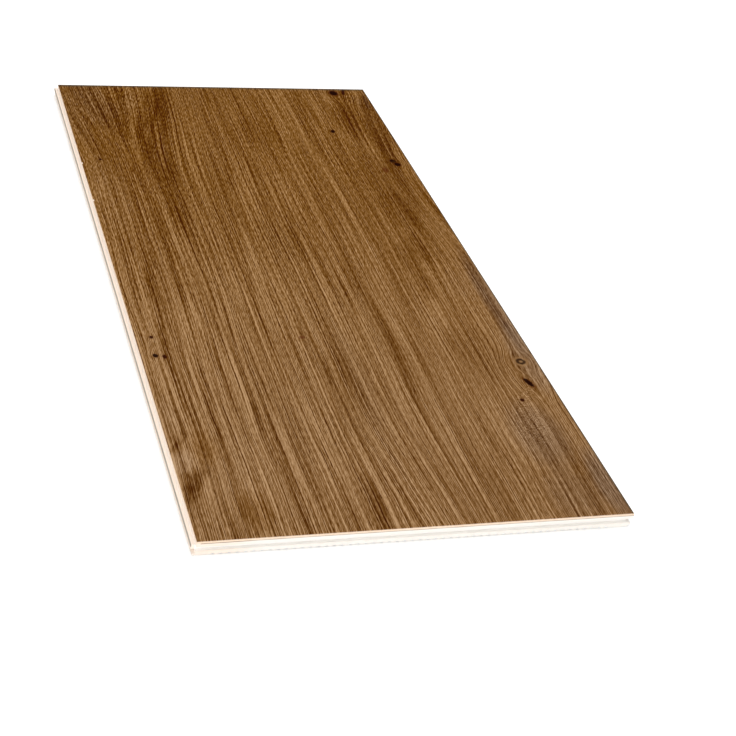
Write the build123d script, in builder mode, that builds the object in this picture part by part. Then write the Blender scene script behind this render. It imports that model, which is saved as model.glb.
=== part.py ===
"""Click-lock luxury vinyl plank, a cut length of it, lying flat with its printed face up.

Millimetres. X runs across the plank, Y along it and Z up. The origin is at the middle of the
underside. The tongues are on the left side and the far end, the grooves on the right side and
the near end. Three bonded layers: the printed wear layer, the core with the click profile
milled into all four edges, and the ribbed backing.
"""
from build123d import *
import os

# Printed face
face_width = 177.8
face_length = 406.4
edge_bevel = 0.3

# Layers, from the face down
wear_thickness = 1.0
core_thickness = 5.0
backing_thickness = 1.0

# Tongue, with the snap bead under it
tongue_drop = 2.7
tongue_height = 2.0
tongue_reach = 1.6
nose_top_radius = 0.45
nose_bottom_radius = 0.3
bead_reach = 1.05
bead_radius = 0.2

# Groove, cut to take the tongue
lip_setback = 0.5
lip_lead_in = 0.12
groove_root_radius = 0.35
fit_above = 0.1
fit_below = 0.15
fit_nose = 0.4
fit_bead = 0.05
fit_lower_edge = 0.2

# Backing, with its ribs along the plank
backing_lap = 1.3
backing_ease = 0.25
rib_pitch = 3.145
slot_width = 1.2
slot_depth = 0.6
left_solid_strip = 7.4
right_solid_strip = 8.5

# Levels above the floor
core_bottom = backing_thickness
core_top = core_bottom + core_thickness
face_level = core_top + wear_thickness
tongue_top = face_level - tongue_drop
tongue_bottom = tongue_top - tongue_height
groove_ceiling = tongue_top + fit_above
groove_floor = tongue_bottom - fit_below

# Reaches that follow from the fit of one plank in the next
groove_depth = tongue_reach + fit_nose
lower_reach = lip_setback - fit_lower_edge
backing_setback = backing_lap + fit_lower_edge

# The face lies beside the origin, because the tongues stand out on one side and one end only
face_centre_x = tongue_reach / 2
face_centre_y = -tongue_reach / 2
face_left = face_centre_x - face_width / 2
face_right = face_centre_x + face_width / 2
face_near = face_centre_y - face_length / 2
face_far = face_centre_y + face_length / 2


def click_section(groove_edge, tongue_edge):
    """Section of the core between its groove edge and its tongue edge, drawn in the plane's U and Z."""
    outward = 1 if tongue_edge > groove_edge else -1
    nose = tongue_edge + outward * tongue_reach
    tongue_root = tongue_edge + outward * lower_reach
    lip_edge = groove_edge + outward * lip_setback
    groove_root = groove_edge + outward * groove_depth
    with BuildLine() as edge_line:
        Polyline(
            (tongue_edge, core_top),
            (tongue_edge, tongue_top),
            (nose, tongue_top),
            (nose, tongue_bottom),
            (tongue_root, tongue_bottom),
            (tongue_root, core_bottom),
            (lip_edge, core_bottom),
            (lip_edge, groove_floor),
            (groove_root, groove_floor),
            (groove_root, groove_ceiling),
            (groove_edge, groove_ceiling),
            (groove_edge, core_top),
            close=True,
        )
    outline = make_face(edge_line.edges())
    fillet(corner_at(outline, nose, tongue_top), radius=nose_top_radius)
    fillet(corner_at(outline, nose, tongue_bottom), radius=nose_bottom_radius)
    fillet(corner_at(outline, groove_root, groove_floor), radius=groove_root_radius)
    fillet(corner_at(outline, groove_root, groove_ceiling), radius=groove_root_radius)
    chamfer(corner_at(outline, lip_edge, groove_floor), length=lip_lead_in)
    with Locations((groove_edge + outward * bead_reach, tongue_bottom)):
        Circle(bead_radius + fit_bead, mode=Mode.SUBTRACT)


def corner_at(outline, u, level):
    """The corner of an outline that lies at a place across it and a level above the floor."""
    return outline.vertices().sort_by_distance((u, level, 0))[0]


# Core: what the side cutters leave, crossed with what the end cutters leave, and under each
# tongue its bead, which stops where the groove of the next edge cuts the tongue away
bead_near = face_near + groove_depth
bead_right = face_right - groove_depth

with BuildPart() as core:
    with BuildSketch(Plane.XZ) as side_section:
        click_section(face_right, face_left)
    extrude(amount=face_length, both=True)
    with BuildSketch(Plane.YZ) as end_section:
        click_section(face_near, face_far)
    extrude(amount=face_width, both=True, mode=Mode.INTERSECT)
    with BuildSketch(Plane.XZ.offset(-(face_far + bead_near) / 2)):
        with Locations((face_left - bead_reach, tongue_bottom)):
            Circle(bead_radius)
    extrude(amount=(face_far - bead_near) / 2, both=True)
    with BuildSketch(Plane.YZ.offset((face_left + bead_right) / 2)):
        with Locations((face_far + bead_reach, tongue_bottom)):
            Circle(bead_radius)
    extrude(amount=(bead_right - face_left) / 2, both=True)
core.part.label = "core"

# Wear layer: the printed face, with its four edges eased
with BuildPart() as wear_layer:
    with BuildSketch(Plane.XY.offset(core_top)):
        with Locations((face_centre_x, face_centre_y)):
            Rectangle(face_width, face_length)
    extrude(amount=wear_thickness)
    chamfer(wear_layer.faces().sort_by(Axis.Z)[-1].edges(), length=edge_bevel)
wear_layer.part.label = "wear_layer"

# Backing: laps under the tongue side, stops short under the groove side, and is slotted along
# its length between two solid strips
backing_left = face_left - backing_lap
backing_right = face_right - backing_setback
backing_near = face_near + lip_setback
backing_far = face_far + lower_reach
backing_width = backing_right - backing_left
backing_length = backing_far - backing_near
slotted_width = backing_width - left_solid_strip - right_solid_strip
slot_count = int((slotted_width - slot_width) / rib_pitch) + 1
first_slot = backing_left + left_solid_strip + slot_width / 2
middle_slot = first_slot + (slot_count - 1) * rib_pitch / 2

with BuildPart() as backing:
    with BuildSketch():
        with Locations(((backing_left + backing_right) / 2, (backing_near + backing_far) / 2)):
            Rectangle(backing_width, backing_length)
    extrude(amount=backing_thickness)
    chamfer(backing.faces().sort_by(Axis.Z)[0].edges(), length=backing_ease)
    with BuildSketch(Plane.XZ):
        with Locations((middle_slot, 0)):
            with GridLocations(rib_pitch, 0, slot_count, 1):
                Rectangle(slot_width, 2 * slot_depth)
    extrude(amount=face_length, both=True, mode=Mode.SUBTRACT)
backing.part.label = "backing"

os.makedirs("parts", exist_ok=True)
export_step(core.part, "parts/core.step")
export_step(wear_layer.part, "parts/wear_layer.step")
export_step(backing.part, "parts/backing.step")
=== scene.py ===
"""Dresses the click-lock vinyl plank: oak print, cut edges, milled core, ribbed backing, floor, light and camera."""
import logging
import math
from dataclasses import dataclass, field
from enum import Enum

import bpy
from mathutils import Matrix, Vector


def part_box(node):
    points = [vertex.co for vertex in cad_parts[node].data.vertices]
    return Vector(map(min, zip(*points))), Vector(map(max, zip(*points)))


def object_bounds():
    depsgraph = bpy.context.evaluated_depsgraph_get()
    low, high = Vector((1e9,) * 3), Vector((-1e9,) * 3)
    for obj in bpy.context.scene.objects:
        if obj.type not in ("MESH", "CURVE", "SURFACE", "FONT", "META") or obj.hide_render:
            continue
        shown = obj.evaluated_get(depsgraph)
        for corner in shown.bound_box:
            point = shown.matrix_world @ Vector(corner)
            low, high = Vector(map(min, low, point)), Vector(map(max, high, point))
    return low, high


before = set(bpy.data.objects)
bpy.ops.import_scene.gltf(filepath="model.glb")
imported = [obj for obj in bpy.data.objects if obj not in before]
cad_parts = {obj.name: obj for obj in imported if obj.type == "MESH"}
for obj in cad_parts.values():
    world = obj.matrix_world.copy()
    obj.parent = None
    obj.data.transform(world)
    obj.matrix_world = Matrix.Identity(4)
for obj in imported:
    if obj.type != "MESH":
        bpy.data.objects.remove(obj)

CAD_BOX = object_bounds()
MM_PER_METRE = 1000.0
BELL_END = 2.4  # square of the distance, in half sizes, at which a soft mark has faded out
GOLDEN = 0.618
LOG = logging.getLogger("plank")


class Term:
    """A number that varies over a surface, written as a formula and built as math nodes."""

    def __init__(self, net: "Net", socket: bpy.types.NodeSocket) -> None:
        """Keep the net that the nodes go into and the socket that gives the number."""
        self.net = net
        self.socket = socket

    def __add__(self, other: "Term | float") -> "Term":
        """Sum of two numbers."""
        return self.net.math("ADD", self, other)

    def __sub__(self, other: "Term | float") -> "Term":
        """Difference of two numbers."""
        return self.net.math("SUBTRACT", self, other)

    def __rsub__(self, other: float) -> "Term":
        """Difference of two numbers."""
        return self.net.math("SUBTRACT", other, self)

    def __mul__(self, other: "Term | float") -> "Term":
        """Product of two numbers."""
        return self.net.math("MULTIPLY", self, other)

    def __truediv__(self, other: "Term | float") -> "Term":
        """Quotient of two numbers."""
        return self.net.math("DIVIDE", self, other)

    def scaled(self, factor: "Term | float", shift: "Term | float") -> "Term":
        """Multiply by one number and add another, in one node."""
        return self.net.math("MULTIPLY_ADD", self, factor, shift)

    def root(self) -> "Term":
        """Square root."""
        return self.net.math("SQRT", self)

    def exp(self) -> "Term":
        """Exponential."""
        return self.net.math("EXPONENT", self)

    def size(self) -> "Term":
        """Absolute value."""
        return self.net.math("ABSOLUTE", self)

    def most(self, other: "Term | float") -> "Term":
        """The larger of two numbers."""
        return self.net.math("MAXIMUM", self, other)

    def ramp(self, start: float, end: float) -> "Term":
        """Rise smoothly from 0 at start to 1 at end, which may be the smaller.

        Args:
            start: value at which the result is 0.
            end: value at which the result is 1.

        Returns:
            The smooth step, from 0 to 1.
        """
        low, high = min(start, end), max(start, end)
        to_low, to_high = (0.0, 1.0) if end > start else (1.0, 0.0)
        given = {"Value": self, "From Min": low, "From Max": high, "To Min": to_low, "To Max": to_high}
        node = self.net.put("ShaderNodeMapRange", given, interpolation_type="SMOOTHSTEP")
        return Term(self.net, node.outputs["Result"])


class Net:
    """Places nodes in one shader tree and joins them."""

    def __init__(self, tree: bpy.types.NodeTree) -> None:
        """Keep the tree that the nodes go into."""
        self.tree = tree

    def put(self, kind: str, given: dict | None = None, **settings: object) -> bpy.types.Node:
        """Add a node.

        Args:
            kind: the node's type name.
            given: socket name or number to a value, a socket or a Term.
            settings: properties of the node.

        Returns:
            The new node.
        """
        node = self.tree.nodes.new(kind)
        for name, value in settings.items():
            setattr(node, name, value)
        for name, value in (given or {}).items():
            if isinstance(value, Term):
                value = value.socket
            if isinstance(value, bpy.types.NodeSocket):
                self.tree.links.new(value, node.inputs[name])
            else:
                node.inputs[name].default_value = value
        return node

    def math(self, operation: str, *numbers: Term | float) -> Term:
        """Add a math node.

        Args:
            operation: what it works out.
            numbers: the numbers it works on, one to three.

        Returns:
            The result.
        """
        return Term(self, self.put("ShaderNodeMath", dict(enumerate(numbers)), operation=operation).outputs[0])

    def vector(self, x: Term | float, y: Term | float, z: Term | float) -> bpy.types.NodeSocket:
        """Join three numbers into a vector."""
        return self.put("ShaderNodeCombineXYZ", {"X": x, "Y": y, "Z": z}).outputs["Vector"]

    def noise(self, place: bpy.types.NodeSocket, detail: float = 2.0, roughness: float = 0.5) -> Term:
        """Noise about zero at a place.

        Args:
            place: where it is read, one unit to a lump of noise.
            detail: how many finer layers it has.
            roughness: how strong the finer layers are.

        Returns:
            Noise from about -0.5 to 0.5.
        """
        given = {"Vector": place, "Scale": 1.0, "Detail": detail, "Roughness": roughness}
        return Term(self, self.put("ShaderNodeTexNoise", given).outputs["Fac"]) - 0.5

    def blend(
        self,
        share: Term | float,
        under: tuple | bpy.types.NodeSocket,
        over: tuple | bpy.types.NodeSocket,
        clamp: bool = True,
    ) -> bpy.types.NodeSocket:
        """Mix two colours.

        Args:
            share: how much of the second shows, 0 to 1.
            under: the first colour.
            over: the second colour.
            clamp: whether a share outside 0 to 1 is cut off.

        Returns:
            The mixed colour.
        """
        node = self.put("ShaderNodeMix", data_type="RGBA", clamp_factor=clamp)
        for index, value in ((0, share), (6, under), (7, over)):
            value = value.socket if isinstance(value, Term) else value
            if isinstance(value, bpy.types.NodeSocket):
                self.tree.links.new(value, node.inputs[index])
            else:
                node.inputs[index].default_value = value
        return node.outputs[2]

    def shades(self, share: Term, stops: tuple[tuple[float, tuple], ...]) -> bpy.types.NodeSocket:
        """Read a colour off a ramp.

        Args:
            share: place on the ramp, 0 to 1.
            stops: places on the ramp and their colours.

        Returns:
            The colour.
        """
        node = self.put("ShaderNodeValToRGB", {"Fac": share})
        elements = node.color_ramp.elements
        for element, (place, colour) in zip((elements[0], elements[-1]), (stops[0], stops[-1])):
            element.position = place
            element.color = colour
        for place, colour in stops[1:-1]:
            elements.new(place).color = colour
        return node.outputs["Color"]


def paint(red: int, green: int, blue: int) -> tuple[float, float, float, float]:
    """Turn a colour as it looks on a screen, 0 to 255, into the linear colour that nodes take.

    Args:
        red: red as seen.
        green: green as seen.
        blue: blue as seen.

    Returns:
        Linear red, green and blue, and an alpha of 1.
    """
    shares = [value / 255 for value in (red, green, blue)]
    linear = [s / 12.92 if s <= 0.04045 else ((s + 0.055) / 1.055) ** 2.4 for s in shares]
    return (*linear, 1.0)


@dataclass(frozen=True)
class Effect:
    """A shader node group with named numbers in and out, built once and placed where it is wanted."""

    name: str = ""
    takes: tuple[str, ...] = ()
    gives: tuple[str, ...] = ()

    def tree(self) -> bpy.types.NodeTree:
        """Find the group, or build it the first time.

        Returns:
            The group's tree.
        """
        found = bpy.data.node_groups.get(self.name)
        if found:
            return found
        tree = bpy.data.node_groups.new(self.name, "ShaderNodeTree")
        for name in self.takes:
            tree.interface.new_socket(name, in_out="INPUT", socket_type="NodeSocketFloat")
        for name in self.gives:
            tree.interface.new_socket(name, in_out="OUTPUT", socket_type="NodeSocketFloat")
        net = Net(tree)
        source = tree.nodes.new("NodeGroupInput")
        made = self.draw(net, {name: Term(net, source.outputs[name]) for name in self.takes})
        net.put("NodeGroupOutput", made)
        return tree

    def draw(self, net: Net, given: dict[str, Term]) -> dict[str, Term]:
        """Draw the group's inside.

        Args:
            net: the group's own net.
            given: its named inputs.

        Returns:
            Its named outputs.
        """
        raise NotImplementedError

    def place(self, net: Net, **values: Term | float) -> dict[str, Term]:
        """Place the group in a tree.

        Args:
            net: where it goes.
            values: its inputs, named in lower case with underscores for spaces.

        Returns:
            Its named outputs.
        """
        node = net.put("ShaderNodeGroup", node_tree=self.tree())
        for name in self.takes:
            value = values.get(name.lower().replace(" ", "_"), 0.0)
            if isinstance(value, Term):
                net.tree.links.new(value.socket, node.inputs[name])
            else:
                node.inputs[name].default_value = value
        return {name: Term(net, node.outputs[name]) for name in self.gives}


@dataclass(frozen=True)
class PlankRule(Effect):
    """Where a point lies on the plank, in millimetres: across from the left edge of the face, along from the
    far end towards the near end, and down from the face."""

    name: str = "plank_rule"
    gives: tuple[str, ...] = ("Across", "Along", "Down")

    def draw(self, net: Net, given: dict[str, Term]) -> dict[str, Term]:
        """Measure from the corners of the printed face.

        Args:
            net: the group's own net.
            given: its named inputs.

        Returns:
            Its named outputs.
        """
        low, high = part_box("wear_layer")
        place = net.put("ShaderNodeTexCoord").outputs["Object"]
        parts = net.put("ShaderNodeSeparateXYZ", {"Vector": place})
        x, y, z = (Term(net, parts.outputs[axis]) for axis in "XYZ")
        return {
            "Across": (x - low.x) * MM_PER_METRE,
            "Along": (high.y - y) * MM_PER_METRE,
            "Down": (high.z - z) * MM_PER_METRE,
        }


@dataclass(frozen=True)
class Streaks(Effect):
    """Long thin streaks of noise that follow the grain, about zero."""

    name: str = "streaks"
    takes: tuple[str, ...] = ("Grain", "Along", "Width", "Length", "Seed", "Detail")
    gives: tuple[str, ...] = ("Streak",)
    roughness: float = 0.9

    def draw(self, net: Net, given: dict[str, Term]) -> dict[str, Term]:
        """Read noise on a stretched place, sheared so that the ends of neighbouring streaks don't line up.

        Args:
            net: the group's own net.
            given: its named inputs.

        Returns:
            Its named outputs.
        """
        aside = given["Grain"] / given["Width"]
        place = net.vector(aside, given["Along"] / given["Length"] + aside * GOLDEN, given["Seed"])
        settings = {"Vector": place, "Scale": 1.0, "Detail": given["Detail"], "Roughness": self.roughness}
        texture = net.put("ShaderNodeTexNoise", settings)
        return {"Streak": Term(net, texture.outputs["Fac"]) - 0.5}

    def lay(self, net: Net, flow: Term, along: Term, layer: "StreakLayer") -> Term:
        """Place one layer of streaks.

        Args:
            net: the material's net.
            flow: the grain coordinate.
            along: millimetres from the far end.
            layer: the size and seed of its streaks.

        Returns:
            The streaks, about zero.
        """
        made = self.place(
            net, grain=flow, along=along, width=layer.width, length=layer.length, seed=layer.seed, detail=layer.detail
        )
        return made["Streak"]


@dataclass(frozen=True)
class Grit(Effect):
    """Fine speckle of a filled vinyl, as tone and as height."""

    name: str = "grit"
    takes: tuple[str, ...] = ("Across", "Along", "Down", "Grain Size", "Seed")
    gives: tuple[str, ...] = ("Tone", "Height")
    cloud_size: float = 6.0
    speck_share: float = 0.6

    def draw(self, net: Net, given: dict[str, Term]) -> dict[str, Term]:
        """Read noise at the grain's size and at several times that.

        Args:
            net: the group's own net.
            given: its named inputs.

        Returns:
            Its named outputs.
        """
        size = given["Grain Size"]
        fine = net.vector(given["Across"] / size, given["Along"] / size, given["Down"] / size + given["Seed"])
        broad_size = size * self.cloud_size
        broad = net.vector(
            given["Across"] / broad_size, given["Along"] / broad_size, given["Down"] / broad_size + given["Seed"]
        )
        speck = net.noise(fine, 3.0, 0.6)
        cloud = net.noise(broad, 2.0)
        return {"Tone": speck * self.speck_share + cloud, "Height": speck}


@dataclass(frozen=True)
class CutterLines(Effect):
    """Fine lines that a milling cutter leaves along an edge, which run along it at slightly uneven levels."""

    name: str = "cutter_lines"
    takes: tuple[str, ...] = ("Across", "Along", "Down", "Pitch")
    gives: tuple[str, ...] = ("Line",)
    run: float = 60.0

    def draw(self, net: Net, given: dict[str, Term]) -> dict[str, Term]:
        """Read noise that is fine downwards and long both ways along the edges.

        Args:
            net: the group's own net.
            given: its named inputs.

        Returns:
            Its named outputs.
        """
        place = net.vector(given["Across"] / self.run, given["Along"] / self.run, given["Down"] / given["Pitch"])
        return {"Line": net.noise(place, 2.0)}


class KnotKind(Enum):
    """How a knot looks in the print."""

    FAINT = "faint"
    PIN = "pin"
    DARK = "dark"
    RING = "ring"


@dataclass(frozen=True)
class Place:
    """Where the print is read, in millimetres from the left edge and from the far end."""

    across: Term
    along: Term


@dataclass(frozen=True)
class Lumps:
    """Soft noise over the face: width and length of its lumps in millimetres, its seed and its detail."""

    width: float
    length: float
    seed: float
    detail: float = 1.0

    def read(self, net: Net, place: Place) -> Term:
        """Noise about zero at a place."""
        return net.noise(net.vector(place.across / self.width, place.along / self.length, self.seed), self.detail)


@dataclass(frozen=True)
class Oval:
    """An oval on the face, in millimetres from the left edge and from the far end, which may lean."""

    across: float
    along: float
    half_width: float
    half_length: float
    lean: float = 0.0

    def offset(self, place: "Place") -> Term:
        """Find how far across the oval a point lies.

        Args:
            place: the point.

        Returns:
            The distance from its long axis, one at the rim.
        """
        shift = self.lean * self.along - self.across
        leaned = place.along.scaled(-self.lean / self.half_width, shift / self.half_width)
        return place.across.scaled(1.0 / self.half_width, leaned)

    def square(self, place: "Place", offset: Term | None = None) -> Term:
        """Find the square of a point's distance from the centre.

        Args:
            place: the point.
            offset: how far across the oval it lies, if that is at hand.

        Returns:
            The square, one at the rim.
        """
        across = offset or self.offset(place)
        along = place.along.scaled(1.0 / self.half_length, -self.along / self.half_length)
        return along.scaled(along, across * across)

    def bell(self, place: "Place") -> Term:
        """A soft bump, one at the centre and a little over half at the rim."""
        return self.square(place).ramp(BELL_END, 0.0)

    def push(self, place: "Place", strength: float) -> Term:
        """How far the grain is pushed aside, in millimetres.

        Args:
            place: where it is read.
            strength: share of the distance from the centre by which it is pushed.

        Returns:
            The shift to take from the grain coordinate.
        """
        offset = self.offset(place)
        return offset * self.square(place, offset).ramp(BELL_END, 0.0) * (self.half_width * strength)

    def grown(self, times: float) -> "Oval":
        """The same oval made larger."""
        return Oval(self.across, self.along, self.half_width * times, self.half_length * times, self.lean)


@dataclass(frozen=True)
class Mark(Oval):
    """A soft patch or vein of the print, so many screen levels lighter or darker, and greyer or more golden."""

    level: float = 0.0
    grey: float = 0.0


@dataclass(frozen=True)
class Knot(Oval):
    """A knot in the print."""

    kind: KnotKind = KnotKind.PIN
    halo: float = 0.3
    strength: float = 0.6


@dataclass(frozen=True)
class StreakLayer:
    """One size of streak in the print: width and length in millimetres, and its screen levels."""

    width: float
    length: float
    level: float
    seed: float
    detail: float = 0.0


def marks(rows: str) -> tuple[Mark, ...]:
    """Read marks off a table, one on each line: across, along, half width, half length, lean, level and grey."""
    return tuple(Mark(*(float(value) for value in row.split())) for row in rows.strip().splitlines())


PATCHES = marks("""
    46.0  48.0   6.5  46.0 -0.22  -23   0.00
    53.0  20.0   7.0  18.0  0.00   -9   0.00
    16.0  20.0   9.0  30.0  0.10   -6   0.10
     3.5  40.0   4.0  30.0  0.10    5   0.06
    26.0  42.0   6.0  20.0  0.00  -13   0.00
    27.0  92.0   5.0  15.0  0.00    3  -0.02
    34.0  25.0   5.0  16.0 -0.30    4   0.05
    98.0  60.0   7.0  18.0  0.00  -11   0.00
    10.0 130.0   8.0  36.0  0.00    8   0.03
    41.0 122.0   7.0  42.0  0.00  -18   0.00
   120.0  35.0  20.0  38.0  0.00    5   0.00
   158.0  42.0   7.0  22.0  0.00  -22   0.00
   152.0  13.5   3.0   6.0  0.15   10   0.00
   169.6  17.0   2.6   7.0  0.00    0   0.05
   174.6  18.0   1.2  10.0 -0.10  -18   0.14
   173.0  45.0   6.0  38.0 -0.10  -10   0.03
   148.8  64.0   2.2   7.5  0.10    8   0.00
   156.0 112.0   9.0  24.0  0.00   -8   0.00
   156.0 152.0   7.0  20.0  0.00  -19   0.00
   154.0 190.0   4.5  14.0  0.00  -24   0.00
   142.0 198.0   3.5  13.0  0.00  -14   0.00
   164.0 225.0   7.0  12.0  0.00    0   0.03
   144.0 251.0   3.5  15.0 -0.10   22   0.00
   174.5 240.0   4.0  38.0  0.00  -10   0.20
    58.0 190.0  10.0  50.0  0.00    4   0.00
    21.0 187.0   6.0  30.0  0.00   -1   0.00
    15.0 300.0   5.0  20.0  0.00    7   0.00
   119.0 180.0  11.0  26.0  0.00    4   0.00
    37.0  87.0   3.0   9.0  0.00    2   0.00
    42.0 108.0   7.0  12.0  0.00   -6   0.00
    92.0 180.0   6.0  38.0  0.00    3   0.00
    91.0 300.0   5.0  40.0  0.00   -5   0.03
    72.0 388.0  14.0  14.0  0.00   -5   0.00
   125.0 385.0  20.0  20.0  0.00   -3   0.00
   155.0 287.0   8.0  19.0  0.00  -13   0.00
   158.0 350.0  10.0  20.0  0.00   -2   0.14
   174.0 290.0   6.0  24.0  0.00    3   0.16
   174.5 386.0   5.0  20.0  0.00  -10   0.22
   158.0 392.0  10.0  14.0  0.00   -2   0.08
     4.0 326.0   3.0  12.0  0.00    9   0.03
     4.0 357.0   4.2   7.0 -0.20   27   0.06
    15.0 380.0   4.5  13.0  0.00    6   0.00
    26.0 391.0   5.5  11.0  0.10  -24  -0.04
    14.0 348.0   4.5  10.0  0.00  -14  -0.04
""")
VEINS = marks("""
      6.5  30.0   0.9  22.0  0.17   -16
     13.5  55.0   1.1  16.0  0.28   -18
     19.5  78.0   0.8  15.0  0.10   -15
     12.5  18.0   0.9  17.0  0.20   -12
     16.8  45.0   0.7  15.0  0.08   -14
     12.5  47.0   0.9  24.0  0.27    13
     20.0  45.0   0.8  20.0  0.12   -18
     24.5  62.0   0.8  18.0  0.10   -17
     36.0  52.0   1.0  16.0 -0.25   -18
     33.0  70.0   0.9  14.0 -0.22   -17
     47.5  40.0   0.9  20.0 -0.25   -18
     39.0  62.0   1.0  16.0 -0.24    14
     29.5  78.0   1.0  10.0  0.00    12
      3.5  52.0   0.8  20.0  0.15   -16
      6.0  22.0   0.9  15.0  0.20     9
     41.5  50.0   1.3   9.0 -0.25   -20
     45.2  23.0   0.8   9.0 -0.20   -15
     50.0  28.0   0.9  13.0 -0.15   -12
     35.0  13.5   0.8   9.0 -0.80   -18
     38.5  78.0   0.9  13.0 -0.12   -11
     32.0  97.0   0.9   9.0 -0.35   -12
     25.3 105.0   0.9   3.2  0.00   -22
     37.0 108.0   0.7   5.5  0.00   -14
    157.5  38.0   0.8   9.0  0.00   -14
    162.5  10.5   1.1   3.6  1.20   -24
    167.0  19.0   0.9   8.0  0.75   -16
    160.2  50.0   0.6   7.0  0.00   -12
    171.0  42.0   0.8  28.0 -0.12   -12
    166.5  78.0   1.1   7.5 -0.10   -15
    140.5  25.0   0.5  18.0 -0.06   -11
     35.5 160.0   0.6  17.0  0.00   -20
     40.5 165.0   0.7  20.0  0.00   -15
     44.8 150.0   0.7  13.0  0.00   -13
     34.0 195.0   0.7  26.0  0.03    18
     29.8 242.0   1.1  20.0  0.05    16
     32.3 238.0   0.6  22.0  0.05   -17
     27.0 185.0   0.7  28.0  0.00   -11
      7.5 215.0   0.6  18.0  0.03   -18
     13.0 222.0   1.1  13.0 -0.05   -16
     85.0 175.0   0.6  22.0  0.03   -21
     82.0 178.0   0.5  13.0  0.00   -12
     91.0 185.0   0.6  17.0  0.00   -16
     98.0 190.0   0.7  55.0  0.03   -11
     63.8 162.0   0.7  17.0  0.00    16
      8.3 165.0   0.6  24.0  0.00   -14
     99.8 300.0   0.7  32.0  0.01   -25
    100.8 345.0   0.6  14.0  0.02   -13
     98.5 368.0   0.7  17.0  0.14   -17
     96.5 320.0   0.6  18.0  0.03   -14
     40.2 335.0   0.6  30.0  0.00   -21
     33.0 320.0   0.6  40.0  0.00   -21
     27.3 340.0   0.7  24.0  0.00   -20
     50.2 340.0   0.6  32.0  0.00   -20
     65.8 312.0   0.6  13.0  0.00   -18
     30.3 325.0   1.5  32.0  0.00    12
     38.8 305.0   0.6  20.0  0.00    17
     88.0 300.0   1.1  32.0  0.00    10
     44.5 355.0   0.7  30.0  0.00   -13
     85.5 382.0   0.7  20.0  0.09   -17
     57.0 388.0   0.6  16.0  0.00   -13
    142.0 343.0   0.9  17.0  0.14    14
      3.0 308.0   1.1   9.0  0.20   -12
      6.8 322.0   1.2   8.0  0.25   -12
      8.6 333.0   1.4   6.5 -0.10   -14
      6.6 340.5   1.6   5.0 -0.70   -15
      2.6 347.0   1.6   4.5 -0.80   -15
     12.0 352.0   1.9   7.0 -0.10   -13
      9.8 362.0   2.6   6.5 -0.35   -16
      7.2 369.5   3.6   6.5 -0.60   -27
      3.8 376.5   3.2   6.0 -0.70   -20
      1.0 383.0   2.4   5.0 -0.50   -10
     22.0 325.0   0.6  38.0  0.00   -13
     11.5 315.0   0.6  18.0  0.00   -12
    137.8 375.0   0.6  15.0 -0.05   -14
    120.0 375.0   0.6  13.0  0.00   -12
""")


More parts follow.
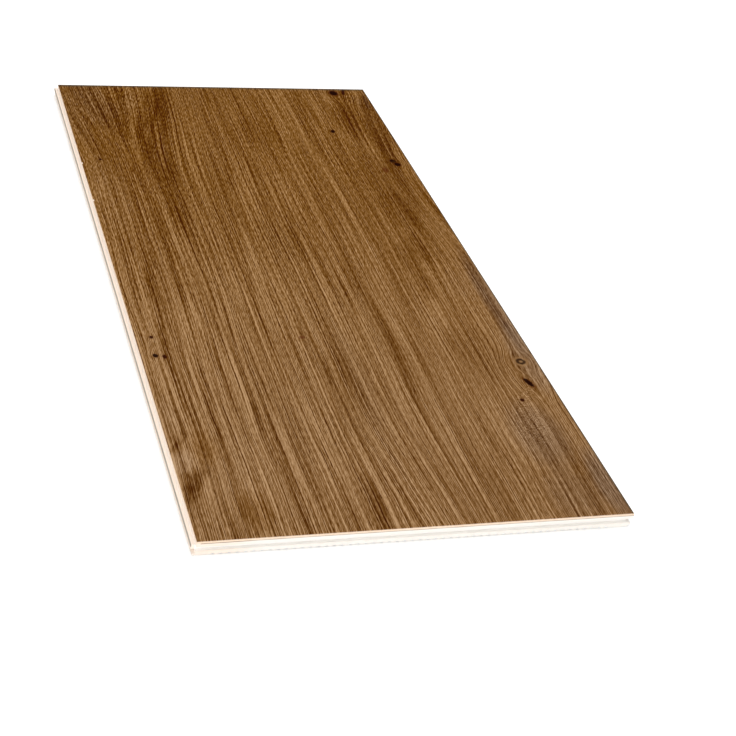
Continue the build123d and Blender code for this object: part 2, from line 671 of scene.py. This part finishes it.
@dataclass(frozen=True)
class OakPrint:
    """The oak picture under the clear film: flow of the grain, streaks, pores, patches, veins and knots."""

    middle: tuple[int, int, int] = (131, 92, 50)
    level_span: int = 60
    level_step: int = 20
    far_level: float = -8.5
    near_level: float = 9.5
    level_run: tuple[float, float] = (90.0, 300.0)
    sheen: float = 0.002
    vee_centre: float = 30.0
    vee_width: float = 32.0
    vee_run: tuple[float, float] = (125.0, -20.0)
    vee_pull: float = -0.6
    drift: Lumps = Lumps(40.0, 130.0, 3.0)
    drift_shift: float = 4.5
    ripple: Lumps = Lumps(6.0, 22.0, 8.0)
    ripple_shift: float = 0.8
    wander: Lumps = Lumps(2.5, 14.0, 6.0)
    wander_shift: tuple[float, float] = (1.6, 4.0)
    layers: tuple[StreakLayer, ...] = (
        StreakLayer(11.0, 300.0, 34.0, 1.0, 1.0),
        StreakLayer(4.2, 140.0, 12.0, 5.0),
        StreakLayer(1.9, 90.0, 22.0, 9.0),
        StreakLayer(1.2, 26.0, 16.0, 11.0),
        StreakLayer(0.8, 70.0, 54.0, 14.0),
    )
    crisp_across: tuple[float, float] = (150.0, 60.0)
    crisp_along: tuple[float, float] = (60.0, 260.0)
    crisp_gain: float = 0.25
    crisp_least: float = 0.92
    dashes: StreakLayer = StreakLayer(0.45, 2.8, 75.0, 17.0)
    dash_run: tuple[float, float] = (340.0, 40.0)
    threads: StreakLayer = StreakLayer(0.5, 100.0, 42.0, 19.0)
    thread_edge: float = 0.08
    lines: tuple[StreakLayer, ...] = (
        StreakLayer(1.8, 200.0, -29.0, 33.4),
        StreakLayer(1.1, 120.0, -26.0, 41.6),
    )
    line_edge: float = 0.06
    line_share: float = 0.22
    pores: StreakLayer = StreakLayer(0.4, 5.0, 16.0, 21.0)
    pore_crowds: StreakLayer = StreakLayer(3.5, 60.0, 0.6, 25.0, 1.0)
    pore_edge: tuple[float, float] = (0.08, 0.2)
    grey_run: tuple[float, float] = (40.0, 400.0)
    grey_gain: float = 0.14
    grey_far: float = -0.11
    thread_relief: float = 0.02
    pore_relief: float = -0.8
    knots: tuple[Knot, ...] = (
        Knot(157.9, 6.3, 2.0, 2.6, 0.0, KnotKind.DARK, 0.5, 0.4),
        Knot(164.2, 4.8, 0.8, 3.4, -0.22, KnotKind.PIN, 0.3, 0.2),
        Knot(144.2, 57.4, 1.0, 1.6, -0.15, KnotKind.DARK, 0.3, 0.5),
        Knot(168.5, 94.2, 1.5, 2.0, 0.1, KnotKind.DARK, 0.4, 0.4),
        Knot(169.9, 97.9, 1.5, 1.7, 0.0, KnotKind.DARK, 0.4, 0.4),
        Knot(161.2, 104.5, 1.2, 2.4, 0.0, KnotKind.FAINT, 0.2, 0.0),
        Knot(10.1, 92.6, 0.7, 0.9, 0.0, KnotKind.PIN, 0.2, 0.3),
        Knot(7.2, 265.0, 0.7, 1.0, 0.0, KnotKind.PIN, 0.2, 0.3),
        Knot(74.2, 268.6, 1.3, 1.1, 0.0, KnotKind.FAINT, 0.1, 0.0),
        Knot(6.5, 279.7, 1.0, 1.3, 0.0, KnotKind.DARK, 0.2, 0.4),
        Knot(10.3, 280.9, 0.8, 1.3, 0.0, KnotKind.PIN, 0.3, 0.3),
        Knot(169.8, 294.2, 2.2, 2.4, 0.0, KnotKind.RING, 0.35, 0.35),
        Knot(167.4, 311.2, 1.1, 2.9, 0.3, KnotKind.DARK, 0.35, 0.35),
        Knot(159.5, 324.4, 0.8, 1.0, 0.0, KnotKind.PIN, 0.2, 0.3),
    )
    knot_reach: float = 3.0
    knot_push: float = 0.6
    bulges: tuple[Oval, ...] = (Oval(171.0, 303.0, 11.0, 17.0), Oval(163.0, 8.0, 9.0, 12.0))
    bulge_push: float = 0.35
    slant_centre: float = 97.0
    slant_width: float = 18.0
    slant_run: tuple[float, float] = (310.0, 430.0)
    slant_shift: float = 6.0
    lean_across: tuple[float, float] = (150.0, 178.0)
    lean_rise: tuple[float, float] = (0.0, 110.0)
    lean_fall: tuple[float, float] = (210.0, 110.0)
    lean_shift: float = 7.0
    flecks: Lumps = Lumps(0.6, 1.1, 4.0, 2.0)
    fleck_level: float = 34.0
    speckle_level: float = 150.0
    speckles: tuple[Oval, ...] = (Oval(162.5, 321.0, 3.5, 8.0, -0.6), Oval(157.0, 344.0, 6.5, 13.0, -0.15))
    fray: Lumps = Lumps(0.9, 1.3, 2.0, 2.0)
    fray_shift: tuple[float, float] = (0.9, -1.2)
    halo_edge: tuple[float, float] = (3.4, 1.0)
    halo_level: float = -32.0
    rim_edge: tuple[float, float] = (1.8, 1.2)
    rim_share: float = 1.3
    heart_edge: tuple[float, float] = (1.35, 0.95)
    ring_edge: tuple[float, float] = (2.0, 1.3)
    ring_share: float = 0.6
    ring_level: float = 28.0
    ring_heart: tuple[float, float] = (1.25, 0.8)
    ring_eye: tuple[float, float] = (0.1, 0.6)
    heart: tuple[float, float, float, float] = paint(26, 2, 0)
    pin: tuple[float, float, float, float] = paint(52, 14, 2)
    rim: tuple[float, float, float, float] = paint(90, 34, 8)

    def paint(self, level: float) -> tuple[float, float, float, float]:
        """Colour of the print at a level, less the little white that the film's sheen adds over it."""
        seen = paint(*(max(value + level, 4) for value in self.middle))
        return (*(max(value - self.sheen, 0.0003) for value in seen[:3]), 1.0)

    def flow(self, net: Net, across: Term, along: Term) -> Term:
        """Find the grain coordinate, whose lines of equal value are the lines of the grain.

        Args:
            net: the material's net.
            across: millimetres from the left edge.
            along: millimetres from the far end.

        Returns:
            The grain coordinate in millimetres.
        """
        place = Place(across, along)
        drift = self.drift.read(net, place) * self.drift_shift
        ripple = self.ripple.read(net, place) * self.ripple_shift
        aside = across - self.vee_centre
        bend = aside / self.vee_width
        vee = aside * (bend * bend * -1.0).exp() * along.ramp(*self.vee_run) * self.vee_pull
        off_slant = (across - self.slant_centre) / self.slant_width
        slant = (off_slant * off_slant * -1.0).exp() * along.ramp(*self.slant_run) * self.slant_shift
        lean = across.ramp(*self.lean_across) * along.ramp(*self.lean_rise) * along.ramp(*self.lean_fall)
        lean = lean * self.lean_shift
        flow = across + vee - slant + lean
        for bulge in self.bulges:
            flow = flow - bulge.push(place, self.bulge_push)
        for knot in self.knots:
            flow = flow - knot.grown(self.knot_reach).push(place, knot.strength * self.knot_push)
        return flow + (drift + ripple)

    def build(self, net: Net, across: Term, along: Term) -> tuple[bpy.types.NodeSocket, Term, Term]:
        """Draw the picture.

        Args:
            net: the material's net.
            across: millimetres from the left edge.
            along: millimetres from the far end.

        Returns:
            Its colour, its embossed relief, and a mask of pores and knots.
        """
        flow = self.flow(net, across, along)
        place = Place(across, along)
        wander = self.wander.read(net, place)
        wandering = Place(across + wander * self.wander_shift[0], along + wander * self.wander_shift[1])
        level = along.ramp(*self.level_run) * (self.near_level - self.far_level) + self.far_level
        streaks = Streaks()
        crisp = across.ramp(*self.crisp_across) * along.ramp(*self.crisp_along) * self.crisp_gain + self.crisp_least
        fine = along * 0.0
        for layer in self.layers:
            fine = fine + streaks.lay(net, flow, along, layer) * layer.level
        dash = streaks.lay(net, flow, along, self.dashes)
        fine = dash.scaled(along.ramp(*self.dash_run).scaled(self.dashes.level, self.dashes.level), fine)
        thread = streaks.lay(net, flow, along, self.threads)
        thin = (thread.ramp(-self.thread_edge, self.thread_edge) - 0.5) * self.threads.level
        for layer in self.lines:
            line = streaks.lay(net, flow, along, layer).size().ramp(self.line_edge, 0.0)
            thin = (line - self.line_share).scaled(layer.level, thin)
        pore = streaks.lay(net, flow, along, self.pores)
        crowd = streaks.lay(net, flow, along, self.pore_crowds) * self.pore_crowds.level
        pores = (pore + crowd).ramp(*self.pore_edge)
        grey = along.ramp(*self.grey_run) * self.grey_gain + self.grey_far
        for mark in PATCHES:
            bell = mark.bell(place)
            level = bell.scaled(mark.level, level)
            grey = bell.scaled(mark.grey, grey) if mark.grey else grey
        veins = wander * 0.0
        for mark in VEINS:
            veins = mark.bell(wandering).scaled(mark.level, veins)
        level = (fine + thin).scaled(crisp, level + veins)
        fleck = self.flecks.read(net, place)
        speckled = sum((speckle.bell(place) for speckle in self.speckles), start=along * 0.0)
        speckled = speckled.scaled(self.speckle_level, self.fleck_level)
        level = level + fleck * speckled - pores * self.pores.level
        stops = range(-self.level_span, self.level_span + 1, self.level_step)
        share = level * (0.5 / self.level_span) + 0.5
        colour = net.shades(share, tuple((0.5 + 0.5 * s / self.level_span, self.paint(s)) for s in stops))
        shade = net.put("ShaderNodeRGBToBW", {"Color": colour}).outputs["Val"]
        colour = net.blend(grey, colour, shade, clamp=False)
        colour, hearts = self.paint_knots(net, across, along, colour)
        relief = thin.scaled(self.thread_relief, pores * self.pore_relief)
        return colour, relief, pores.most(hearts)

    def heart_paint(self, kind: KnotKind) -> tuple[tuple[float, float, float, float], float]:
        """Choose how a knot's heart is painted.

        Args:
            kind: how the knot looks.

        Returns:
            Its colour, and how much of it shows.
        """
        return {
            KnotKind.FAINT: (self.rim, 0.5),
            KnotKind.PIN: (self.pin, 0.95),
            KnotKind.DARK: (self.heart, 0.95),
            KnotKind.RING: (self.heart, 0.85),
        }[kind]

    def paint_knots(
        self, net: Net, across: Term, along: Term, colour: bpy.types.NodeSocket
    ) -> tuple[bpy.types.NodeSocket, Term]:
        """Lay the knots over the picture.

        Args:
            net: the material's net.
            across: millimetres from the left edge.
            along: millimetres from the far end.
            colour: the picture without them.

        Returns:
            The colour with them, and a mask of their dark hearts.
        """
        fray = self.fray.read(net, Place(across, along))
        place = Place(across + fray * self.fray_shift[0], along + fray * self.fray_shift[1])
        hearts = fray * 0.0
        for knot in self.knots:
            near = knot.square(place).root()
            colour = net.blend(near.ramp(*self.halo_edge) * knot.halo, colour, self.paint(self.halo_level))
            if knot.kind is KnotKind.RING:
                colour = net.blend(near.ramp(*self.ring_edge) * self.ring_share, colour, self.paint(self.ring_level))
                heart = near.ramp(*self.ring_heart) * near.ramp(*self.ring_eye)
            else:
                colour = net.blend(near.ramp(*self.rim_edge) * (knot.halo * self.rim_share), colour, self.rim)
                heart = near.ramp(*self.heart_edge)
            dark, depth = self.heart_paint(knot.kind)
            colour = net.blend(heart * depth, colour, dark)
            hearts = hearts.most(heart)
        return colour, hearts


@dataclass(frozen=True)
class Finish:
    """What every layer's finish has: its gloss, and how its fine relief is drawn."""

    roughness: float = 0.75
    specular: float = 0.3
    bump_strength: float = 0.5
    bump_depth: float = 0.00008

    def build(self) -> bpy.types.Material:
        """Make the material."""
        raise NotImplementedError

    def coat(self, net: Net, shader: bpy.types.Node, colour: bpy.types.NodeSocket, rough: Term, height: Term) -> None:
        """Join the finish's parts to its shader.

        Args:
            net: the material's net.
            shader: its Principled shader.
            colour: its colour.
            rough: its roughness.
            height: its fine relief.
        """
        net.tree.links.new(colour, shader.inputs["Base Color"])
        net.tree.links.new(rough.socket, shader.inputs["Roughness"])
        relief = {"Height": height, "Strength": self.bump_strength, "Distance": self.bump_depth}
        bump = net.put("ShaderNodeBump", relief)
        net.tree.links.new(bump.outputs["Normal"], shader.inputs["Normal"])
        shader.inputs["Specular IOR Level"].default_value = self.specular


@dataclass(frozen=True)
class PrintedVinyl(Finish):
    """The wear layer's finish: oak print on the face, dark eased edge, cream vinyl where it is cut."""

    oak: OakPrint = OakPrint()
    bevel: float = 0.3
    cut_cream: tuple = paint(254, 234, 214)
    cut_shade: tuple = paint(246, 218, 190)
    edge_brown: tuple = paint(98, 72, 50)
    edge_grey: tuple = paint(84, 76, 62)
    cut_pale: float = 0.45
    ease: tuple[float, float] = (0.02, 0.1)
    ease_share: float = 0.1
    grey_band_far: float = 4.0
    grey_band_right: tuple[float, float] = (176.7, 177.3)
    grey_band_share: float = 0.75
    chips: tuple[Oval, ...] = (Oval(0.0, 97.0, 0.55, 1.0), Oval(0.0, 137.5, 0.6, 0.9))
    chip_fray: float = 0.5
    chip_edge: tuple[float, float] = (1.3, 0.8)
    grain_size: float = 0.22
    film_size: float = 0.5
    film_rough: float = 0.08
    film_height: float = 0.1
    hole_rough: float = 0.12
    roughness: float = 0.55
    specular: float = 0.008
    bump_depth: float = 0.00012

    def build(self) -> bpy.types.Material:
        """Make the material.

        Returns:
            The material.
        """
        material, net, shader = new_material("printed_vinyl")
        rule = PlankRule().place(net)
        across, along, down = rule["Across"], rule["Along"], rule["Down"]
        picture, relief, holes = self.oak.build(net, across, along)
        grit = Grit().place(net, across=across, along=along, down=down, grain_size=self.grain_size, seed=2.0)
        cut = net.blend(grit["Tone"] + self.cut_pale, self.cut_shade, self.cut_cream)
        # The face turns grey within a few millimetres of the far end and along its right edge.
        grey_band = along.ramp(self.grey_band_far, 0.0).most(across.ramp(*self.grey_band_right))
        face = net.blend(grey_band * self.grey_band_share, picture, self.edge_grey)
        face = net.blend(down.ramp(*self.ease) * self.ease_share, face, self.edge_brown)
        place = Place(across, along)
        for chip in self.chips:
            chipped = (chip.square(place) + grit["Tone"] * self.chip_fray).ramp(*self.chip_edge)
            face = net.blend(chipped, face, self.cut_cream)
        colour = net.blend(down.ramp(self.bevel * 0.3, self.bevel), face, cut)
        film = net.noise(net.vector(across / self.film_size, along / self.film_size, down / self.film_size), 2.0)
        rough = film * self.film_rough + holes * self.hole_rough + self.roughness
        self.coat(net, shader, colour, rough, relief + film * self.film_height)
        return material


@dataclass(frozen=True)
class CoreBoard(Finish):
    """The core's finish: pale filled vinyl with cutter lines, a tan bond line on top, painted shade along the tip of
    the tongue and in a corner of the groove, and painted light that whitens the inside of the groove.
    """

    pale: tuple = paint(255, 251, 245)
    shade: tuple = paint(250, 243, 233)
    warm: tuple = paint(254, 237, 221)
    # Painted light: near-white that lifts the shade inside the groove.
    inside: tuple = paint(255, 252, 248)
    bond: tuple = paint(160, 128, 106)
    # Painted shade: the grey of the shaded tip of the tongue.
    nose_shade: tuple = paint(150, 140, 126)
    # Painted shade: the grey of a shaded corner of the groove.
    groove_shade: tuple = paint(190, 180, 170)
    tone_share: float = 0.8
    line_share: float = 0.9
    line_pitch: float = 0.35
    patches: Lumps = Lumps(9.0, 9.0, 1.0, 2.0)
    warm_run: tuple[float, float] = (26.0, 10.0)
    warm_share: float = 0.85
    groove_shade_place: Oval = Oval(1.2, 3.5, 0.6, 0.35)
    groove_shade_share: float = 0.5
    groove_light_along: tuple[float, float] = (405.85, 405.6)
    groove_light_across: tuple[float, float] = (-0.5, 0.2)
    groove_light_down: tuple[float, float] = (2.5, 2.7)
    bond_down: tuple[float, float] = (1.4, 1.16)
    bond_across: tuple[float, float] = (1.2, 2.0)
    bond_run: tuple[float, float] = (30.0, 8.0)
    bond_gain: float = 0.3
    bond_share: float = 0.75
    nose_shade_across: tuple[float, float] = (-1.3, -1.5)
    nose_shade_down: tuple[float, float] = (4.4, 3.6)
    nose_shade_gain: float = 0.3
    nose_shade_share: float = 0.9
    grain_size: float = 0.3
    grain_rough: float = 0.1
    grain_height: float = 0.5
    roughness: float = 0.72
    bump_strength: float = 0.35
    bump_depth: float = 0.00006

    def build(self) -> bpy.types.Material:
        """Make the material.

        Returns:
            The material.
        """
        material, net, shader = new_material("core_board")
        rule = PlankRule().place(net)
        across, along, down = rule["Across"], rule["Along"], rule["Down"]
        grit = Grit().place(net, across=across, along=along, down=down, grain_size=self.grain_size, seed=7.0)
        lines = CutterLines().place(net, across=across, along=along, down=down, pitch=self.line_pitch)
        tone = grit["Tone"] * self.tone_share + lines["Line"] * self.line_share + 0.5
        colour = net.blend(tone, self.shade, self.pale)
        patchy = self.patches.read(net, Place(across, along))
        colour = net.blend(across.ramp(*self.warm_run) * self.warm_share, colour, self.warm)
        # Painted shade: a grey spot about 1.2 mm in from the left edge and 3.5 mm down, where the groove's corner is
        # shaded.
        groove_shaded = self.groove_shade_place.bell(Place(across, down)) * self.groove_shade_share
        colour = net.blend(groove_shaded, colour, self.groove_shade)
        # Painted light: away from the near end's face and the left edge, the core below 2.7 mm is painted nearly
        # white, which lifts the shade inside the groove.
        groove_light = along.ramp(*self.groove_light_along) * across.ramp(*self.groove_light_across) * down.ramp(*self.groove_light_down)
        colour = net.blend(groove_light, colour, self.inside)
        strength = across.ramp(*self.bond_run) * self.bond_gain + self.bond_share + patchy
        bond = down.ramp(*self.bond_down) * across.ramp(*self.bond_across) * strength
        colour = net.blend(bond, colour, self.bond)
        # Painted shade: the tip of the tongue, beyond 1.5 mm out from the left edge and less than 3.6 mm down, is
        # painted grey.
        nose_shade = across.ramp(*self.nose_shade_across) * down.ramp(*self.nose_shade_down)
        colour = net.blend(nose_shade * (patchy * self.nose_shade_gain + self.nose_shade_share), colour, self.nose_shade)
        rough = grit["Tone"] * self.grain_rough + self.roughness
        self.coat(net, shader, colour, rough, grit["Height"] * self.grain_height + lines["Line"])
        return material


@dataclass(frozen=True)
class BackingVinyl(Finish):
    """The backing's finish: pale soft vinyl with a fine moulded grain, and a painted contact shadow along the bottom
    of its near end and left side.
    """

    pale: tuple = paint(255, 253, 248)
    shade: tuple = paint(251, 245, 236)
    warm: tuple = paint(254, 238, 223)
    # Painted shadow: the grey of the contact shadow at the backing's foot.
    foot_shadow: tuple = paint(234, 226, 216)
    warm_run: tuple[float, float] = (26.0, 12.0)
    warm_share: float = 0.75
    foot_shadow_down: tuple[float, float] = (6.5, 6.8)
    near_foot_shadow: tuple[float, float] = (405.4, 405.6)
    left_foot_shadow: tuple[float, float] = (-0.8, -1.0)
    grain_size: float = 0.4
    grain_rough: float = 0.12
    roughness: float = 0.78

    def build(self) -> bpy.types.Material:
        """Make the material.

        Returns:
            The material.
        """
        material, net, shader = new_material("backing_vinyl")
        rule = PlankRule().place(net)
        across, along, down = rule["Across"], rule["Along"], rule["Down"]
        grit = Grit().place(net, across=across, along=along, down=down, grain_size=self.grain_size, seed=13.0)
        colour = net.blend(grit["Tone"] + 0.6, self.shade, self.pale)
        colour = net.blend(across.ramp(*self.warm_run) * self.warm_share, colour, self.warm)
        # Painted contact shadow: the bottom half millimetre of the backing's near end and left side is painted grey
        # where it meets the floor.
        rim = along.ramp(*self.near_foot_shadow).most(across.ramp(*self.left_foot_shadow))
        colour = net.blend(rim * down.ramp(*self.foot_shadow_down), colour, self.foot_shadow)
        self.coat(net, shader, colour, grit["Tone"] * self.grain_rough + self.roughness, grit["Height"])
        return material


def new_material(name: str) -> tuple[bpy.types.Material, Net, bpy.types.Node]:
    """Start a material with one Principled shader.

    Args:
        name: the material's name.

    Returns:
        The material, the net over its tree, and its shader node.
    """
    material = bpy.data.materials.new(name)
    material.use_nodes = True
    material.node_tree.nodes.clear()
    net = Net(material.node_tree)
    shader = net.put("ShaderNodeBsdfPrincipled")
    net.put("ShaderNodeOutputMaterial", {"Surface": shader.outputs["BSDF"]})
    return material, net, shader


@dataclass
class Plank:
    """The three bonded layers, each in its own finish."""

    finishes: dict[str, Finish] = field(
        default_factory=lambda: {
            "wear_layer": PrintedVinyl(),
            "core": CoreBoard(),
            "backing": BackingVinyl(),
        }
    )

    def dress(self) -> None:
        """Give each layer its material."""
        for node, finish in self.finishes.items():
            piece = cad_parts[node]
            piece.data.materials.clear()
            piece.data.materials.append(finish.build())
            LOG.info("%s: %d faces, finish %s", node, len(piece.data.polygons), type(finish).__name__)


@dataclass
class Floor:
    """The pale floor that the plank lies on, and the world round it."""

    half_size: float = 3.0
    pale: tuple = paint(250, 250, 250)
    camera_lift: float = 0.35
    foot_lift: float = 0.6
    lift_by: float = 0.0025
    white_from: float = 0.7
    white_by: float = 1.4
    sky: float = 0.35

    def build(self) -> None:
        """Lay the floor and light the world."""
        self.lay()
        self.surround()

    def lay(self) -> None:
        """Make the floor, whose white is lifted where the camera sees it, so that only shadow is grey."""
        half = self.half_size
        mesh = bpy.data.meshes.new("floor")
        corners = [(-half, -half, 0), (half, -half, 0), (half, half, 0), (-half, half, 0)]
        mesh.from_pydata(corners, [], [(0, 1, 2, 3)])
        floor = bpy.data.objects.new("floor", mesh)
        bpy.context.scene.collection.objects.link(floor)
        material = bpy.data.materials.new("pale_floor")
        material.use_nodes = True
        material.node_tree.nodes.clear()
        net = Net(material.node_tree)
        matt = net.put("ShaderNodeBsdfDiffuse", {"Color": self.pale})
        place = net.put("ShaderNodeTexCoord").outputs["Object"]
        parts = net.put("ShaderNodeSeparateXYZ", {"Vector": place})
        x, y = (Term(net, parts.outputs[axis]) for axis in "XY")
        away = (x * x + y * y).root().ramp(self.white_from, self.white_by)
        beside = (x.size() - CAD_BOX[1][0]).most(y.size() - CAD_BOX[1][1]).ramp(0.0, self.lift_by)
        seen = Term(net, net.put("ShaderNodeLightPath").outputs["Is Camera Ray"])
        near = (beside * (1.0 - self.foot_lift) + self.foot_lift) * self.camera_lift
        level = away * (1.0 - self.camera_lift) + near
        lift = net.put("ShaderNodeEmission", {"Strength": seen * level})
        both = net.put("ShaderNodeAddShader", {0: matt.outputs[0], 1: lift.outputs[0]})
        net.put("ShaderNodeOutputMaterial", {"Surface": both.outputs[0]})
        mesh.materials.append(material)
        LOG.info("floor laid")

    def surround(self) -> None:
        """Make the world: white where the camera sees it, softer as light."""
        world = bpy.data.worlds.new("studio")
        bpy.context.scene.world = world
        world.use_nodes = True
        world.node_tree.nodes.clear()
        net = Net(world.node_tree)
        seen = Term(net, net.put("ShaderNodeLightPath").outputs["Is Camera Ray"])
        strength = seen * (1.0 - self.sky) + self.sky
        sky = net.put("ShaderNodeBackground", {"Color": (1, 1, 1, 1), "Strength": strength})
        net.put("ShaderNodeOutputWorld", {"Surface": sky.outputs[0]})


@dataclass(frozen=True)
class Softbox:
    """A square lamp aimed at the plank. Level is what it adds to a white surface that faces it."""

    name: str
    direction: tuple[float, float, float]
    distance: float
    width: float
    level: float

    def build(self) -> None:
        """Hang the lamp."""
        data = bpy.data.lights.new(self.name, "AREA")
        data.shape = "SQUARE"
        data.size = self.width
        data.energy = self.level * math.pi**2 * self.distance**2
        lamp = bpy.data.objects.new(self.name, data)
        lamp.location = Vector(self.direction).normalized() * self.distance
        lamp.rotation_euler = Vector(self.direction).to_track_quat("Z", "Y").to_euler()
        bpy.context.scene.collection.objects.link(lamp)
        LOG.info("%s: %.1f watts", self.name, data.energy)


@dataclass(frozen=True)
class PhotoCamera:
    """The camera's place, aim and lens, worked out from the four corners of the printed face."""

    eye: tuple[float, float, float] = (-0.215512, -0.688217, 0.403773)
    heading: float = 20.6943
    tilt_down: float = 31.9342
    roll: float = 9.2730
    lens: float = 84.0395
    sensor: float = 36.0

    def build(self) -> None:
        """Set the camera up."""
        heading, tilt, roll = (math.radians(a) for a in (self.heading, self.tilt_down, self.roll))
        forward = Vector((math.sin(heading) * math.cos(tilt), math.cos(heading) * math.cos(tilt), -math.sin(tilt)))
        level_right = Vector((math.cos(heading), -math.sin(heading), 0.0))
        level_down = forward.cross(level_right)
        right = level_right * math.cos(roll) - level_down * math.sin(roll)
        up = right.cross(forward)
        data = bpy.data.cameras.new("camera")
        data.lens = self.lens
        data.sensor_width = self.sensor
        data.clip_start = 0.01
        camera = bpy.data.objects.new("camera", data)
        turn = Matrix((right, up, -forward)).transposed()
        camera.matrix_world = Matrix.Translation(self.eye) @ turn.to_4x4()
        bpy.context.scene.collection.objects.link(camera)
        bpy.context.scene.camera = camera


def main() -> None:
    """Dress the plank, lay the floor, light it and set the camera."""
    logging.basicConfig(level=logging.INFO, format="%(name)s: %(message)s")
    bpy.context.scene.view_settings.view_transform = "Standard"
    Plank().dress()
    Floor().build()
    for softbox in (
        Softbox("key_softbox", (-0.55, -0.6, 0.9), 2.0, 1.4, 0.3),
        Softbox("front_softbox", (-0.1, -1.0, 0.14), 2.0, 0.45, 0.26),
        Softbox("side_softbox", (-1.0, -0.2, 0.14), 2.0, 0.45, 0.15),
        Softbox("top_softbox", (0.25, 0.3, 1.0), 2.0, 1.4, 0.46),
    ):
        softbox.build()
    PhotoCamera().build()


if __name__ == "__main__":
    main()
